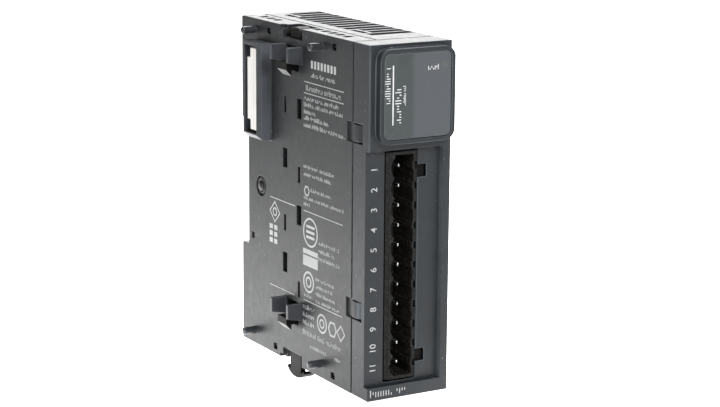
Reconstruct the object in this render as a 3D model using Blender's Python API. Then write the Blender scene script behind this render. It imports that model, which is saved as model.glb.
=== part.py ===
"""A slim DIN-rail expansion module for a programmable controller.

The measures below are millimetres in housing coordinates: x runs right from the left side, y runs
back from the front plane and z runs up from the bottom edge. frame_point() turns them into metres
in the part's own frame, whose origin is the centre of the face that rests on the 35 mm rail.
"""

import math

import bmesh
import bpy
from mathutils import Matrix, Vector

MM = 0.001

# Housing
WIDTH = 23.6
HEIGHT = 90.0
DEPTH = 68.5
WALL = 1.8
GAP = 0.3
SEAM_X = 6.8
SEAM_Y = 8.1

# Rail seat: the notch in the back for a 35 mm rail
RAIL_HEIGHT = 35.0
SEAT_Y = 64.8
RAIL_BOTTOM = (HEIGHT - RAIL_HEIGHT) / 2
RAIL_TOP = RAIL_BOTTOM + RAIL_HEIGHT
RAIL_THICKNESS = 1.0
RAIL_GRIP = 1.5
ORIGIN = Vector((WIDTH / 2, SEAT_Y, HEIGHT / 2))

# Front bezel
RECESS_DEPTH = 1.75
RECESS_BOTTOM = 3.4
RECESS_TOP = 63.6
RECESS_RIGHT = 21.5
OPENING_LEFT, OPENING_RIGHT = 5.5, 15.0
OPENING_BOTTOM, OPENING_TOP = 3.9, 63.4
PLUG_LATCH_SIZE = 2.6
PLUG_LATCH_DEPTH = 1.3
PLUG_LATCH_CENTRES = (9.8, 57.5)
PANEL_LEFT, PANEL_RIGHT = 1.85, 23.4
PANEL_BOTTOM, PANEL_TOP = 65.4, 89.0
PANEL_HEIGHT = 2.2
PANEL_RIM = 1.1
PANEL_RADIUS = 3.0
LENS_THICKNESS = 1.0
LENS_RECESS = 0.15
LED_X, LED_Z = 20.0, 84.2
LIGHT_PIPE_RADIUS = 1.1

# Side snaps that hold the bezel
SNAP_CENTRES = (22.5, 67.5)
SNAP_HEIGHT = 5.0
SNAP_FRONT = 3.2

# Slots and catch windows of the left half: vents as (centre y, bottom z, width, height)
SIDE_VENTS = [(43.6, 67.2, 1.1, 4.2), (43.6, 52.5, 2.35, 5.2), (43.6, 35.5, 1.1, 4.3),
              (43.6, 24.2, 2.35, 5.3), (35.9, 66.5, 2.4, 5.3), (35.9, 49.7, 1.1, 4.2),
              (35.9, 38.4, 2.4, 5.2), (35.9, 18.9, 1.1, 4.2)]
SNAP_WINDOWS = [(17.6, 1.4), (49.1, 1.4), (17.5, 86.6), (52.6, 86.6)]
FINGER_THICKNESS = 0.7
STRIP_VENT_CENTRES = [17.0 + 3.8 * i for i in range(5)] + [54.5, 58.3, 62.1]
STRIP_VENT_LEFT, STRIP_VENT_RIGHT, STRIP_VENT_LENGTH = 2.5, 4.9, 2.4

# Ventilation grilles across the right half, above and below
SLOT_COUNT = 12
SLOT_FRONT = 16.5
SLOT_PITCH = 4.15
SLOT_LENGTH = 3.0
SLOT_LEFT, SHORT_SLOT_LEFT, SLOT_RIGHT = 10.2, 12.9, 22.6
CATCH_HOLE_LEFT, CATCH_HOLE_RIGHT = 10.3, 11.7
CATCH_HOLES = [(20.6, 27.4), (57.8, 63.4)]

# Terminal header
PIN_COUNT = 11
PIN_PITCH = 5.08
PIN_WIDTH = 1.0
PIN_X = 11.1
PIN_TIP_Y = 4.0
PIN_BEND_Y = 15.0
PIN_TAPER = 0.8
HEADER_LEFT, HEADER_RIGHT = 5.8, 14.4
HEADER_WALL = 0.9
HEADER_LEDGE = 0.5
HEADER_BOTTOM, HEADER_TOP = 4.5, 63.0
HEADER_FRONT, HEADER_BACK = 1.0, 13.0
HEADER_FLOOR = 10.6
HEADER_CENTRE = 33.45
CUSP_X = 8.15
SCALLOP_RADIUS = 3.48
SCALLOP_X = 10.53
TOOTH_DEPTH = 0.6
TOOTH_RISE = 0.3
TOOTH_HALF = 0.9
RIB_DEPTH = 0.3
PIN_HEIGHTS = [HEADER_CENTRE + (i - (PIN_COUNT - 1) / 2) * PIN_PITCH for i in range(PIN_COUNT)]

# Neighbour locks: a slider at the top and one at the bottom, each with a hook outside the left wall
LOCK_FRONT, LOCK_BACK = 36.6, 42.4
LOCK_LEFT, LOCK_RIGHT = 1.05, 2.55
LOCK_CENTRE = (LOCK_FRONT + LOCK_BACK) / 2
HOOK_OUTER, HOOK_INNER = -3.4, -1.75
HOOK_WIDTH = 4.8
HOOK_HEIGHT = 3.6
NECK_HEIGHT = 2.0
HOOK_TIPS = {"top_lock": 77.65, "bottom_lock": 9.85}
WINDOW_ABOVE_TIP = 1.2
WINDOW_HEIGHT = 6.3
GUARD_LENGTH = 4.2
GUARD_THICKNESS = 1.1
GUARD_HEIGHT = 4.8
GUARD_ABOVE_TIP = 2.95
GUARD_FRONTS = (34.1, 43.1)
GRIP_WIDTH = 9.6
GRIP_SAG = 1.9
GRIP_THICKNESS = 0.85
GRIP_RIGHT = 4.6
NOTCH_HEIGHT = 3.0
NOTCH_DEPTH = 5.2
NOTCH_FRONT, NOTCH_BACK = 34.3, 44.75
NOTCH_STEP_BACK = 46.4
NOTCH_STEP_DEPTH, NOTCH_STEP_HEIGHT = 1.4, 1.1
NOTCH_COVER = 1.2

# Alignment pegs and the rivet on the left side
PEG_RADIUS = 1.05
PEG_LENGTH = 3.95
PEG_PLACES = [(y, z) for y in (23.6, 60.7) for z in (4.0, 86.9)]
RIVET_Y, RIVET_Z = 57.3, 45.0
RIVET_POCKET = 2.75
RIVET_RADIUS = 2.25
RIVET_SHAFT = 1.4

# Side-bus connector
SHROUD_OUT = 4.0
SHROUD_FRONT, SHROUD_BACK = 51.2, 60.0
SHROUD_BOTTOM, SHROUD_TOP = 58.5, 84.5
SHROUD_WALL = 1.0
SHROUD_CHAMFER = 1.35
SHROUD_EDGE = 0.9
BUS_CENTRE_Z = 72.0
BUS_FRONT, BUS_BACK = 52.6, 58.0
BUS_STEP = 1.8
BUS_LONG, BUS_SHORT = 21.9, 16.7

# Rail clip
CLIP_LEFT, CLIP_RIGHT = 5.0, 18.6
CLIP_THICKNESS = 2.0
CLIP_FRONT = 64.2
CLIP_TAB = 2.4
CLIP_TOP = 24.6
NOSE_LEFT, NOSE_RIGHT = 8.0, 15.6
CLIP_ARM_SLOTS = (6.6, 16.2)
CLIP_ARM_SLOT_WIDTH = 0.8

# Circuit boards, both upright and parallel to the sides
BOARD_THICKNESS = 1.6
MAIN_BOARD_X = 3.4
OUTPUT_BOARD_X = 16.9
BOARD_FRONT, BOARD_BACK = 10.0, 61.5
BOARD_BOTTOM, BOARD_TOP = 5.5, 84.5

CIRCLE_SIDES = 24


def clear_scene():
    for obj in list(bpy.data.objects):
        bpy.data.objects.remove(obj)


def frame_point(x, y, z):
    return (Vector((x, y, z)) - ORIGIN) * MM


def solid_object(bm, name="shape"):
    bmesh.ops.recalc_face_normals(bm, faces=bm.faces)
    mesh = bpy.data.meshes.new(name)
    bm.to_mesh(mesh)
    bm.free()
    obj = bpy.data.objects.new(name, mesh)
    bpy.context.collection.objects.link(obj)
    return obj


def prism(outline, axis, start, end):
    """Extrudes an outline along an axis. Its points are (y, z) for X, (x, z) for Y and (x, y) for Z."""
    def corner(point, along):
        values = list(point)
        values.insert("XYZ".index(axis), along)
        return frame_point(*values)

    bm = bmesh.new()
    ends = [[bm.verts.new(corner(point, along)) for point in outline] for along in (start, end)]
    bm.faces.new(ends[0])
    bm.faces.new(ends[1])
    for i in range(len(outline)):
        j = (i + 1) % len(outline)
        bm.faces.new((ends[0][i], ends[0][j], ends[1][j], ends[1][i]))
    return solid_object(bm)


def block(low, high):
    outline = [(low[0], low[1]), (high[0], low[1]), (high[0], high[1]), (low[0], high[1])]
    return prism(outline, "Z", low[2], high[2])


def circle(centre, radius, sides=CIRCLE_SIDES, start=0.0, sweep=math.tau):
    steps = sides if sweep == math.tau else sides + 1
    angles = [start + sweep * i / sides for i in range(steps)]
    return [(centre[0] + radius * math.cos(a), centre[1] + radius * math.sin(a)) for a in angles]


def rounded_rectangle(low, high, radius, sides=6):
    """The outline of a rectangle whose corners are quarter circles."""
    corners = [(high[0] - radius, high[1] - radius), (low[0] + radius, high[1] - radius),
               (low[0] + radius, low[1] + radius), (high[0] - radius, low[1] + radius)]
    points = []
    for i, centre in enumerate(corners):
        points += circle(centre, radius, sides, i * math.pi / 2, math.pi / 2)
    return points


def turned(profile, axis, centre, sides=CIRCLE_SIDES):
    """Turns a profile of (distance along the axis, radius) pairs about an axis through the centre."""
    bm = bmesh.new()
    rings = []
    for along, radius in profile:
        ring = []
        for point in circle(centre, radius, sides):
            values = list(point)
            values.insert("XYZ".index(axis), along)
            ring.append(bm.verts.new(frame_point(*values)))
        rings.append(ring)
    for near, far in zip(rings, rings[1:]):
        for i in range(sides):
            j = (i + 1) % sides
            bm.faces.new((near[i], near[j], far[j], far[i]))
    bm.faces.new(rings[0])
    bm.faces.new(rings[-1])
    return solid_object(bm)


def rod(radius, axis, centre, start, end, sides=CIRCLE_SIDES):
    return turned([(start, radius), (end, radius)], axis, centre, sides)


def combine(target, operation, shapes):
    """Applies one exact Boolean for each shape and removes the shape."""
    for shape in shapes:
        modifier = target.modifiers.new(operation.lower(), "BOOLEAN")
        modifier.operation = operation
        modifier.solver = "EXACT"
        modifier.object = shape
        depsgraph = bpy.context.evaluated_depsgraph_get()
        result = bpy.data.meshes.new_from_object(target.evaluated_get(depsgraph))
        target.modifiers.clear()
        target.data = result
        bpy.data.objects.remove(shape)
    return target


def add(target, *shapes):
    return combine(target, "UNION", shapes)


def cut(target, *shapes):
    return combine(target, "DIFFERENCE", shapes)


def make_material(name, colour, roughness, metallic=0.0):
    material = bpy.data.materials.new(name)
    material.use_nodes = True
    shader = material.node_tree.nodes["Principled BSDF"]
    shader.inputs["Base Color"].default_value = (*colour, 1.0)
    shader.inputs["Roughness"].default_value = roughness
    shader.inputs["Metallic"].default_value = metallic
    material.diffuse_color = (*colour, 1.0)
    return material


def finish(obj, name, material, origin):
    """Names a part, gives it its material, and moves its origin without moving its shape."""
    place = frame_point(*origin)
    obj.data.transform(Matrix.Translation(-place))
    obj.location = place
    obj.name = name
    obj.data.name = name
    obj.data.materials.clear()
    obj.data.materials.append(material)
    obj.data.shade_smooth()
    obj.data.set_sharp_from_angle(angle=math.radians(30))
    obj.parent = bpy.data.objects["module"]
    return obj


# ---------------------------------------------------------------- housing


def side_outline(inset, front):
    """The housing seen from the side, from the given front line back, with the rail notch."""
    return [(front, inset), (DEPTH - inset, inset), (DEPTH - inset, RAIL_BOTTOM - inset),
            (SEAT_Y - inset, RAIL_BOTTOM - inset), (SEAT_Y - inset, RAIL_TOP + inset),
            (DEPTH - inset, RAIL_TOP + inset), (DEPTH - inset, HEIGHT - inset),
            (front, HEIGHT - inset)]


def housing_shell(left, right, open_from, open_to):
    """One half of the rear housing. Its hollow runs from open_from to open_to and is open in front."""
    shell = prism(side_outline(0.0, SEAM_Y + GAP / 2), "X", left, right)
    return cut(shell, prism(side_outline(WALL, SEAM_Y - 1.0), "X", open_from, open_to))


def clip_plate_slot():
    """The slot in the bottom wall that the rail clip slides through."""
    return block((CLIP_LEFT - GAP, CLIP_FRONT - GAP, -1.0),
                 (CLIP_RIGHT + GAP, CLIP_FRONT + CLIP_THICKNESS + GAP, WALL + 1.0))


def clip_nose_slot():
    """The slot in the back that the rail clip's nose moves along, open at the rail notch."""
    return block((NOSE_LEFT - GAP, CLIP_FRONT + 1.0, RAIL_BOTTOM - 17.0),
                 (NOSE_RIGHT + GAP, DEPTH + 1.0, RAIL_BOTTOM + 1.0))


def bezel_tongue(centre):
    """A snap of the rear housing that reaches forward into the bezel's side window."""
    half = SNAP_HEIGHT / 2 - GAP
    outline = [(WALL, SNAP_FRONT + GAP), (0.9, SNAP_FRONT + GAP), (0.0, 5.4), (0.0, 7.9),
               (0.6, 7.9), (0.6, 11.5), (WALL, 11.5)]
    return prism(outline, "Z", centre - half, centre + half)


def peg(place):
    """A round alignment peg with a domed tip, on the outside of the left wall."""
    dome = [(-PEG_LENGTH + PEG_RADIUS * 0.5 * (1 - math.sin(a)), PEG_RADIUS * (0.5 + 0.5 * math.cos(a)))
            for a in (math.pi / 2, math.pi / 4, 0.0)]
    return turned(dome + [(WALL / 2, PEG_RADIUS)], "X", place, 16)


def guard_ribs(tip):
    """The two fixed ribs that stand beside a hook and protect it."""
    bottom = tip + GUARD_ABOVE_TIP
    outline = [(0.5, bottom), (-GUARD_LENGTH, bottom + 0.9), (-GUARD_LENGTH, bottom + GUARD_HEIGHT),
               (0.5, bottom + GUARD_HEIGHT)]
    return [prism(outline, "Y", front, front + GUARD_THICKNESS) for front in GUARD_FRONTS]


def lock_cutters(tip, at_top):
    """The window, the guide channel and the finger notch for one lock slider."""
    window_bottom = tip + WINDOW_ABOVE_TIP
    window = block((-1.0, LOCK_FRONT - 0.4, window_bottom),
                   (WALL + 0.5, LOCK_BACK + 0.2, window_bottom + WINDOW_HEIGHT))
    if at_top:
        channel_span = (window_bottom - 1.0, HEIGHT - 2.0)
        notch_span = (HEIGHT - NOTCH_HEIGHT, HEIGHT + 1.0)
    else:
        channel_span = (2.0, window_bottom + WINDOW_HEIGHT + 1.0)
        notch_span = (-1.0, NOTCH_HEIGHT)
    channel = block((LOCK_LEFT - GAP, LOCK_FRONT - GAP, channel_span[0]),
                    (LOCK_RIGHT + GAP, LOCK_BACK + GAP, channel_span[1]))
    notch = block((-1.0, NOTCH_FRONT, notch_span[0]), (NOTCH_DEPTH, NOTCH_BACK, notch_span[1]))
    step_span = (HEIGHT - NOTCH_STEP_HEIGHT, HEIGHT + 1.0) if at_top else (-1.0, NOTCH_STEP_HEIGHT)
    step = block((-1.0, NOTCH_BACK - 1.0, step_span[0]), (NOTCH_STEP_DEPTH, NOTCH_STEP_BACK, step_span[1]))
    return [window, channel, notch, step]


def notch_pocket(at_top):
    """The material round a finger notch that keeps the housing closed behind it."""
    floor = NOTCH_HEIGHT + 1.5
    span = (HEIGHT - floor, HEIGHT - WALL / 2) if at_top else (WALL / 2, floor)
    return block((WALL / 2, NOTCH_FRONT - NOTCH_COVER, span[0]),
                 (SEAM_X - GAP / 2, NOTCH_BACK + NOTCH_COVER, span[1]))


def bus_shroud():
    """The collar round the bus connector, chamfered below and along its front edge."""
    outline = [(0.5, SHROUD_BOTTOM), (-SHROUD_OUT + SHROUD_CHAMFER, SHROUD_BOTTOM),
               (-SHROUD_OUT, SHROUD_BOTTOM + SHROUD_CHAMFER), (-SHROUD_OUT, SHROUD_TOP), (0.5, SHROUD_TOP)]
    collar = prism(outline, "Y", SHROUD_FRONT, SHROUD_BACK)
    corner = [(-SHROUD_OUT, SHROUD_FRONT + SHROUD_EDGE), (-SHROUD_OUT + SHROUD_EDGE, SHROUD_FRONT),
              (-SHROUD_OUT + SHROUD_EDGE, SHROUD_FRONT - 1.0), (-SHROUD_OUT - 1.0, SHROUD_FRONT - 1.0),
              (-SHROUD_OUT - 1.0, SHROUD_FRONT + SHROUD_EDGE)]
    return cut(collar, prism(corner, "Z", SHROUD_BOTTOM - 1.0, SHROUD_TOP + 1.0))


def side_vents():
    """The upright slots in the left wall."""
    return [block((-1.0, y - width / 2, z), (WALL + 1.0, y + width / 2, z + height))
            for y, z, width, height in SIDE_VENTS]


def half_snap_windows():
    """The small square windows that the right half's fingers reach."""
    return [block((-1.0, y - 1.0, z), (WALL + 1.0, y + 1.0, z + 1.7)) for y, z in SNAP_WINDOWS]


def half_snap_fingers():
    """The fingers on the right half that end in the left half's square windows."""
    fingers = []
    half = FINGER_THICKNESS
    for y, z in SNAP_WINDOWS:
        low, root = (2.15, (1.0, 2.5)) if z < HEIGHT / 2 else (87.15, (87.5, 89.0))
        fingers.append(block((0.5, y - half, low), (SEAM_X + 2.0, y + half, low + FINGER_THICKNESS)))
        fingers.append(block((SEAM_X + GAP, y - half, root[0]), (SEAM_X + 2.0, y + half, root[1])))
    return fingers


def strip_vents(z):
    """The short slots along the edge of the left half, above or below."""
    half = STRIP_VENT_LENGTH / 2
    return [block((STRIP_VENT_LEFT, y - half, z - 1.5), (STRIP_VENT_RIGHT, y + half, z + 1.5))
            for y in STRIP_VENT_CENTRES]


def build_left_cover(plastic):
    cover = housing_shell(0.0, SEAM_X - GAP / 2, WALL, SEAM_X + 1.0)
    add(cover, notch_pocket(True), notch_pocket(False), bus_shroud(), *[peg(place) for place in PEG_PLACES])
    for tip in HOOK_TIPS.values():
        add(cover, *guard_ribs(tip))
    for centre in SNAP_CENTRES:
        recess = block((-1.0, SEAM_Y - 1.0, centre - SNAP_HEIGHT / 2),
                       (0.6, 10.8, centre + SNAP_HEIGHT / 2))
        cut(cover, recess)
        add(cover, bezel_tongue(centre))
    cut(cover, *lock_cutters(HOOK_TIPS["top_lock"], True), *lock_cutters(HOOK_TIPS["bottom_lock"], False))
    cut(cover, *side_vents(), *half_snap_windows(), *strip_vents(HEIGHT - 1.0), *strip_vents(1.0))
    cut(cover, block((-SHROUD_OUT - 1.0, SHROUD_FRONT + 1.1, SHROUD_BOTTOM + 1.6),
                     (WALL + 1.0, SHROUD_BACK - SHROUD_WALL, SHROUD_TOP - SHROUD_WALL)))
    cut(cover, rod(RIVET_POCKET, "X", (RIVET_Y, RIVET_Z), -1.0, 0.9))
    cut(cover, rod(RIVET_SHAFT + GAP, "X", (RIVET_Y, RIVET_Z), 0.5, WALL + 1.0))
    cut(cover, block((-1.0, 61.3, 29.7), (0.7, 62.8, 31.4)), clip_plate_slot())
    return finish(cover, "left_cover", plastic, (0.0, RIVET_Y, RIVET_Z))


def grille(z):
    """The slots across the top or bottom of the right half, shorter beside the two catch holes."""
    slots = []
    for i in range(SLOT_COUNT):
        front = SLOT_FRONT + SLOT_PITCH * i
        beside_hole = any(near - SLOT_LENGTH < front < far for near, far in CATCH_HOLES)
        left = SHORT_SLOT_LEFT if beside_hole else SLOT_LEFT
        slots.append(block((left, front, z - 1.5), (SLOT_RIGHT, front + SLOT_LENGTH, z + 1.5)))
    for near, far in CATCH_HOLES:
        slots.append(block((CATCH_HOLE_LEFT, near, z - 1.5), (CATCH_HOLE_RIGHT, far, z + 1.5)))
    return slots


def neighbour_openings():
    """The openings in the right wall for the next module's pegs, hooks, guard ribs and bus collar."""
    near, far = WIDTH - WALL - 1.0, WIDTH + 1.0
    openings = [rod(PEG_RADIUS + 0.35, "X", place, near, far, 16) for place in PEG_PLACES]
    for tip in HOOK_TIPS.values():
        openings.append(block((near, GUARD_FRONTS[0] - 0.5, tip + WINDOW_ABOVE_TIP),
                              (far, GUARD_FRONTS[1] + GUARD_THICKNESS + 0.5, tip + WINDOW_ABOVE_TIP + 6.9)))
    openings.append(block((near, SHROUD_FRONT - 0.5, SHROUD_BOTTOM - 0.5),
                          (far, SHROUD_BACK + 0.5, SHROUD_TOP + 0.5)))
    return openings


def build_right_case(plastic):
    case = housing_shell(SEAM_X + GAP / 2, WIDTH, SEAM_X - 1.0, WIDTH - WALL)
    hook_lip = block((SEAM_X + GAP / 2, SEAT_Y + RAIL_THICKNESS + 0.6, RAIL_TOP - RAIL_GRIP),
                     (WIDTH, DEPTH, RAIL_TOP + 0.5))
    boss = rod(3.0, "X", (RIVET_Y, RIVET_Z), 20.0, WIDTH - WALL / 2)
    add(case, hook_lip, boss, *half_snap_fingers())
    cut(case, rod(RIVET_SHAFT + GAP, "X", (RIVET_Y, RIVET_Z), 18.0, WIDTH - WALL / 2 - 0.3))
    cut(case, *grille(HEIGHT - 1.0), *grille(1.0), *neighbour_openings())
    cut(case, clip_plate_slot(), clip_nose_slot())
    return finish(case, "right_case", plastic, (WIDTH, RIVET_Y, RIVET_Z))


def build_front_bezel(plastic):
    back = SEAM_Y - GAP / 2
    bezel = block((0.0, 0.0, 0.0), (WIDTH, back, HEIGHT))
    frame = rounded_rectangle((PANEL_LEFT, PANEL_BOTTOM), (PANEL_RIGHT, PANEL_TOP), PANEL_RADIUS)
    add(bezel, prism(frame, "Y", -PANEL_HEIGHT, 0.5))
    floor_y = -PANEL_HEIGHT + LENS_RECESS + LENS_THICKNESS + GAP
    pocket = rounded_rectangle((PANEL_LEFT + PANEL_RIM, PANEL_BOTTOM + PANEL_RIM),
                               (PANEL_RIGHT - PANEL_RIM, PANEL_TOP - PANEL_RIM), PANEL_RADIUS - PANEL_RIM)
    cut(bezel, prism(pocket, "Y", -PANEL_HEIGHT - 1.0, floor_y))
    cut(bezel, block((-1.0, -1.0, RECESS_BOTTOM), (RECESS_RIGHT, RECESS_DEPTH, RECESS_TOP)))
    wall_back = RECESS_DEPTH + WALL
    cut(bezel, block((WALL, wall_back, WALL), (WIDTH - WALL, back + 1.0, HEIGHT - WALL)))
    cut(bezel, block((WALL, WALL, RECESS_TOP + WALL), (WIDTH - WALL, wall_back + 1.0, HEIGHT - WALL)))
    cut(bezel, block((OPENING_LEFT, -1.0, OPENING_BOTTOM), (OPENING_RIGHT, wall_back + 1.0, OPENING_TOP)))
    for centre in PLUG_LATCH_CENTRES:
        half = PLUG_LATCH_SIZE / 2 + GAP
        latch_right = OPENING_RIGHT + PLUG_LATCH_SIZE
        cut(bezel, block((OPENING_RIGHT - 1.0, -1.0, centre - half),
                         (latch_right, RECESS_DEPTH + PLUG_LATCH_DEPTH, centre + half)))
    for centre in SNAP_CENTRES:
        cut(bezel, block((-1.0, SNAP_FRONT, centre - SNAP_HEIGHT / 2),
                         (WALL + 0.2, SEAM_Y + 1.0, centre + SNAP_HEIGHT / 2)))
    cut(bezel, rod(LIGHT_PIPE_RADIUS + GAP, "Y", (LED_X, LED_Z), -PANEL_HEIGHT, WALL + 1.0))
    return finish(bezel, "front_bezel", plastic, (WIDTH / 2, 0.0, HEIGHT / 2))


def build_label_window(glossy):
    """The glossy cover plate in the raised panel."""
    inset = PANEL_RIM + GAP
    outline = rounded_rectangle((PANEL_LEFT + inset, PANEL_BOTTOM + inset),
                                (PANEL_RIGHT - inset, PANEL_TOP - inset), PANEL_RADIUS - inset)
    front = -PANEL_HEIGHT + LENS_RECESS
    plate = prism(outline, "Y", front, front + LENS_THICKNESS)
    return finish(plate, "label_window", glossy, (WIDTH / 2, front, (PANEL_BOTTOM + PANEL_TOP) / 2))


def build_light_pipe(clear):
    front = -PANEL_HEIGHT + LENS_RECESS + LENS_THICKNESS + GAP
    pipe = rod(LIGHT_PIPE_RADIUS, "Y", (LED_X, LED_Z), front, 9.0, 16)
    return finish(pipe, "light_pipe", clear, (LED_X, front, LED_Z))


# ---------------------------------------------------------------- terminal header


def header_hollow():
    """The outline of the header's hollow, as (x, z), with ribs on the right and scallops on the left."""
    right = HEADER_RIGHT - HEADER_WALL
    bottom, top = HEADER_BOTTOM + HEADER_WALL, HEADER_TOP - HEADER_WALL
    outline = [(right, bottom)]
    for z in PIN_HEIGHTS:
        low, high = z + TOOTH_RISE - TOOTH_HALF, z + TOOTH_RISE + TOOTH_HALF
        outline += [(right, low), (right - RIB_DEPTH, low), (right - RIB_DEPTH, high), (right, high)]
    outline += [(right, top), (CUSP_X, top)]
    half_sweep = math.asin(PIN_PITCH / 2 / SCALLOP_RADIUS)
    for z in reversed(PIN_HEIGHTS):
        arc = circle((SCALLOP_X, z), SCALLOP_RADIUS, 10, math.pi - half_sweep, 2 * half_sweep)
        outline += [(CUSP_X, z + PIN_PITCH / 2)] + arc[1:-1]
    outline += [(CUSP_X, PIN_HEIGHTS[0] - PIN_PITCH / 2), (CUSP_X, bottom)]
    return outline


def build_terminal_header(plastic):
    """The open-front pin header, with a scalloped left wall and a toothed right wall."""
    header = block((HEADER_LEFT, HEADER_FRONT, HEADER_BOTTOM), (HEADER_RIGHT, HEADER_BACK, HEADER_TOP))
    cut(header, prism(header_hollow(), "Y", HEADER_FRONT - 1.0, HEADER_FLOOR),
        block((HEADER_LEFT - 1.0, HEADER_FRONT - 1.0, HEADER_BOTTOM - 1.0),
              (HEADER_LEFT + HEADER_WALL, HEADER_FRONT + HEADER_LEDGE, HEADER_TOP + 1.0)))
    for z in PIN_HEIGHTS:
        middle = z + TOOTH_RISE
        tooth = block((HEADER_RIGHT - TOOTH_DEPTH, HEADER_FRONT - 1.0, middle - TOOTH_HALF),
                      (HEADER_RIGHT + 1.0, 6.0, middle + TOOTH_HALF))
        hole = PIN_WIDTH / 2 + GAP
        through = block((PIN_X - hole, HEADER_FLOOR - 1.0, z - hole),
                        (PIN_X + hole, HEADER_BACK + 1.0, z + hole))
        cut(header, tooth, through)
    return finish(header, "terminal_header", plastic, (PIN_X, HEADER_FRONT, HEADER_CENTRE))


def build_terminal_pins(metal):
    """Square pins that run back from the header, turn left and end through the main board."""
    half = PIN_WIDTH / 2
    tail = MAIN_BOARD_X - 0.8
    outline = [(PIN_X - half + 0.25, PIN_TIP_Y), (PIN_X + half - 0.25, PIN_TIP_Y),
               (PIN_X + half, PIN_TIP_Y + PIN_TAPER),
               (PIN_X + half, PIN_BEND_Y + half), (tail, PIN_BEND_Y + half), (tail, PIN_BEND_Y - half),
               (PIN_X - half, PIN_BEND_Y - half), (PIN_X - half, PIN_TIP_Y + PIN_TAPER)]
    for i, z in enumerate(reversed(PIN_HEIGHTS)):
        pin = prism(outline, "Z", z - half, z + half)
        finish(pin, f"terminal_pin_{i + 1}", metal, (PIN_X, PIN_TIP_Y, z))


# ---------------------------------------------------------------- circuit boards and components


def build_boards(board_material):
    main = block((MAIN_BOARD_X, BOARD_FRONT, BOARD_BOTTOM),
                 (MAIN_BOARD_X + BOARD_THICKNESS, BOARD_BACK, BOARD_TOP))
    hole = PIN_WIDTH / 2 + GAP
    for z in PIN_HEIGHTS:
        cut(main, block((MAIN_BOARD_X - 1.0, PIN_BEND_Y - hole, z - hole),
                        (MAIN_BOARD_X + BOARD_THICKNESS + 1.0, PIN_BEND_Y + hole, z + hole)))
    for z_low, z_high in ((BOARD_TOP - 4.0, BOARD_TOP + 1.0), (BOARD_BOTTOM - 1.0, BOARD_BOTTOM + 4.0)):
        cut(main, block((MAIN_BOARD_X - 1.0, NOTCH_FRONT - 2.0, z_low),
                        (MAIN_BOARD_X + BOARD_THICKNESS + 1.0, NOTCH_BACK + 2.0, z_high)))
    output = block((OUTPUT_BOARD_X, BOARD_FRONT + 6.0, BOARD_BOTTOM),
                   (OUTPUT_BOARD_X + BOARD_THICKNESS, BOARD_BACK, BOARD_TOP))
    for board, x in ((main, MAIN_BOARD_X), (output, OUTPUT_BOARD_X)):
        cut(board, rod(RIVET_SHAFT + 0.5, "X", (RIVET_Y, RIVET_Z), x - 1.0, x + BOARD_THICKNESS + 1.0))
    finish(main, "main_board", board_material, (MAIN_BOARD_X, BOARD_FRONT, BOARD_BOTTOM))
    finish(output, "output_board", board_material, (OUTPUT_BOARD_X, BOARD_FRONT, BOARD_BOTTOM))


def component_box(name, material, y, z, size, x=MAIN_BOARD_X + BOARD_THICKNESS + GAP):
    """A plain component on the right face of a board, centred at y and z; size is (x, y, z)."""
    low = (x, y - size[1] / 2, z - size[2] / 2)
    high = (x + size[0], y + size[1] / 2, z + size[2] / 2)
    return finish(block(low, high), name, material, (x, y, z))


def build_components(epoxy, ferrite, copper, aluminium, socket_plastic, diode):
    output_face = OUTPUT_BOARD_X + BOARD_THICKNESS + GAP
    core = block((5.3, 43.0, 12.0), (14.0, 56.0, 25.0))
    cut(core, block((4.0, 46.0, 14.6), (11.4, 53.0, 22.4)))
    finish(core, "transformer_core", ferrite, (5.3, 49.5, 18.5))
    winding = block((5.6, 46.3, 14.9), (11.1, 52.7, 22.1))
    finish(winding, "transformer_winding", copper, (5.6, 49.5, 18.5))
    for i, z in enumerate((34.0, 56.0)):
        can = turned([(5.3, 2.6), (5.5, 3.15), (13.6, 3.15), (14.0, 2.8)], "X", (49.0, z))
        finish(can, f"capacitor_{i + 1}", aluminium, (5.3, 49.0, z))
    component_box("converter_chip", epoxy, 28.0, 22.0, (1.4, 10.0, 12.0))
    component_box("bus_controller_chip", epoxy, 38.0, 68.0, (1.4, 11.0, 11.0))
    component_box("choke", ferrite, 28.0, 40.0, (5.0, 7.0, 7.0))
    for i, z in enumerate((54.0, 63.0, 72.0)):
        component_box(f"isolator_{i + 1}", epoxy, 24.0, z, (3.2, 6.4, 4.8))
    component_box("output_driver_chip", epoxy, 34.0, 24.0, (1.2, 8.0, 8.0), output_face)
    board_gap = (MAIN_BOARD_X + BOARD_THICKNESS + GAP, OUTPUT_BOARD_X - GAP)
    link = block((board_gap[0], 58.6, 50.0), (board_gap[1], 61.2, 57.0))
    finish(link, "board_link", socket_plastic, (board_gap[0], 59.9, 53.5))
    lamp = block((18.8, 9.5, LED_Z - 0.8), (21.0, 11.0, LED_Z + 0.8))
    finish(lamp, "status_led", diode, (20.0, 9.5, LED_Z))


def stepped_connector(x_low, x_high):
    """A connector body whose ends are narrower than its middle."""
    long, short = BUS_LONG / 2, BUS_SHORT / 2
    outline = [(BUS_FRONT, BUS_CENTRE_Z - long), (BUS_BACK - BUS_STEP, BUS_CENTRE_Z - long),
               (BUS_BACK - BUS_STEP, BUS_CENTRE_Z - short), (BUS_BACK, BUS_CENTRE_Z - short),
               (BUS_BACK, BUS_CENTRE_Z + short), (BUS_BACK - BUS_STEP, BUS_CENTRE_Z + short),
               (BUS_BACK - BUS_STEP, BUS_CENTRE_Z + long), (BUS_FRONT, BUS_CENTRE_Z + long)]
    return prism(outline, "X", x_low, x_high)


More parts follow.
